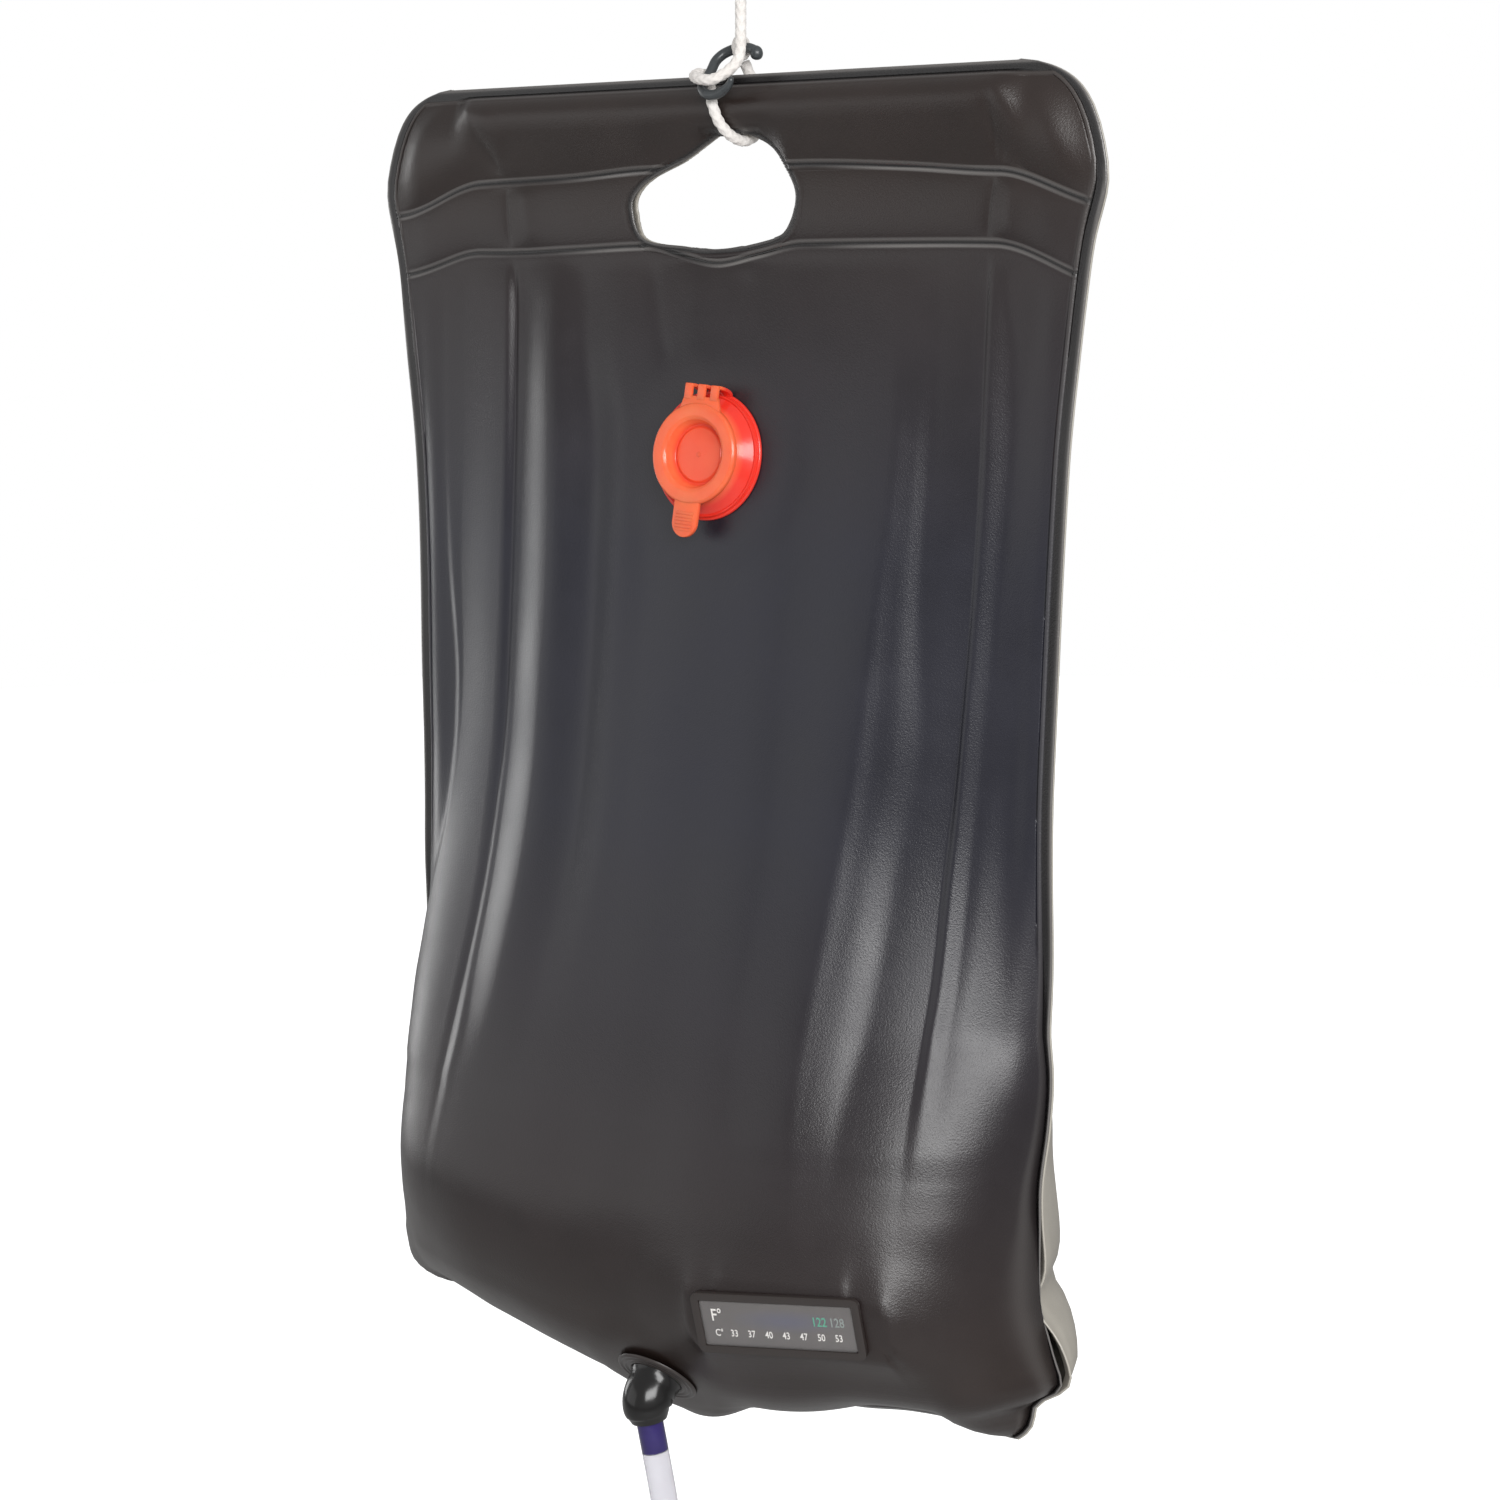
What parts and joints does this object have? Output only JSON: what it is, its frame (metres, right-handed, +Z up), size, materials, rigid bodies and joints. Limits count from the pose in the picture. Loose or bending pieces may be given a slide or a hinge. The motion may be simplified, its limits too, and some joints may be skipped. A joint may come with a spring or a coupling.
{
  "type": "hanging camp shower bag",
  "caption": "Water-filled camp shower bag hung on an S-hook and cord, with a hinged filler cap, strip thermometer, outlet elbow, hose and pull-down shower head.",
  "frame": {"origin": "top inside of the cord's hang loop, where it bears on a branch or hook", "axes": "+Z up along the hanging cord and bag, +X across the bag to its right as seen from the front, -Y out of the black front panel"},
  "size_m": [0.391, 0.1873, 1.0706],
  "materials": {
    "black_pvc_film": "satin, fine grain",
    "grey_pvc_film": "satin",
    "rod_plastic": "matte",
    "hook_enamel": "gloss",
    "white_cord": "braided",
    "orange_pvc": "gloss",
    "gauge_frame_film": "gloss",
    "gauge_print": "satin print",
    "clear_film": "gloss",
    "black_moulding": "gloss",
    "violet_plastic": "gloss",
    "clear_hose": "gloss",
    "black_rubber": "matte"
  },
  "bodies": {
    "bag": {"front_panel": "black_pvc_film", "back_panel": "grey_pvc_film", "support_rod": "rod_plastic", "s_hook": "hook_enamel", "hang_cord": "white_cord", "hang_loop": "white_cord", "cord_knot": "white_cord", "cord_eye": "white_cord", "filler_neck": "orange_pvc", "thermometer_frame": "gauge_frame_film", "thermometer_strip": "gauge_print", "thermometer_window": "clear_film", "outlet_flange": "black_moulding", "outlet_elbow": "black_moulding", "hose_coupler": "violet_plastic", "hose": "clear_hose", "valve_stem": "violet_plastic", "stem_o_ring": "black_rubber"},
    "cap": {"filler_cap": "orange_pvc"},
    "head": {"shower_head": "black_moulding", "spray_plate": "violet_plastic", "post_o_ring": "black_rubber"}
  },
  "joints": [
    {"name": "filler_cap_hinge", "type": "hinge", "parent": "bag", "child": "cap", "pos_m": [-0.01166, -0.0121, -0.2085], "axis": [-0.9976, 0.0016, 0.0692], "range_deg": [0, 160]},
    {"name": "shower_valve_slide", "type": "slide", "parent": "bag", "child": "head", "axis": [0, 0, -1], "range_m": [0, 0.008]}
  ]
}
